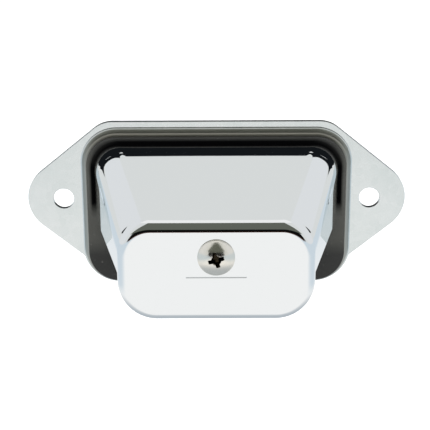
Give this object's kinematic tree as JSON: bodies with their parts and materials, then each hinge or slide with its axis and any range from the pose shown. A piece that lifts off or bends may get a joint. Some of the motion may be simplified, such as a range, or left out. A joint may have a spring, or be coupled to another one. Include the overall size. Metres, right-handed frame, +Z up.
{
  "type": "number plate lamp",
  "caption": "Vehicle number plate lamp: steel base plate with two mounting ears, rubber gasket, clear lens and a sloping chrome hood held by a cross-recess screw.",
  "frame": {"origin": "midway between the two ear holes, on the back face of the base plate, which lies against the vehicle's panel", "axes": "+X to the right seen from the front, -Y towards the front of the lamp, +Z up; the lamp's light falls down, along -Z"},
  "size_m": [0.1174, 0.0367, 0.0524],
  "materials": {
    "zinc_steel": "zinc-plated drawn steel, fine spangle",
    "black_rubber": "matt moulded rubber",
    "chrome_steel": "polished chrome plating on drawn steel",
    "nickel_steel": "nickel-plated screw",
    "clear_plastic": "clear moulded lens",
    "plain_steel": "zinc-plated strip steel",
    "spring_steel": "drawn steel wire",
    "brass": "drawn brass",
    "brown_fibre": "vulcanised fibre sheet",
    "bulb_glass": "blown glass",
    "black_glass": "black glass bead",
    "solder": "soft solder",
    "tungsten": "coiled tungsten wire"
  },
  "bodies": {
    "root": {"base_plate": "zinc_steel", "gasket": "black_rubber", "hood": "chrome_steel", "hood_screw": "nickel_steel", "lens": "clear_plastic", "screw_seal": "black_rubber", "hood_bracket": "plain_steel", "clinch_nut": "brass", "rivets": "plain_steel", "socket_bracket": "plain_steel", "socket_shell": "brass", "contact_carrier": "brown_fibre", "contact_button": "brass", "contact_spring": "spring_steel", "rear_insulator": "brown_fibre", "feed_terminal": "brass", "bulb_glass": "bulb_glass", "bulb_base": "brass", "bulb_insulator": "black_glass", "bulb_contact": "solder", "bulb_stem": "bulb_glass", "filament_supports": "spring_steel", "filament": "tungsten", "wire_grommet": "black_rubber"}
  },
  "joints": []
}
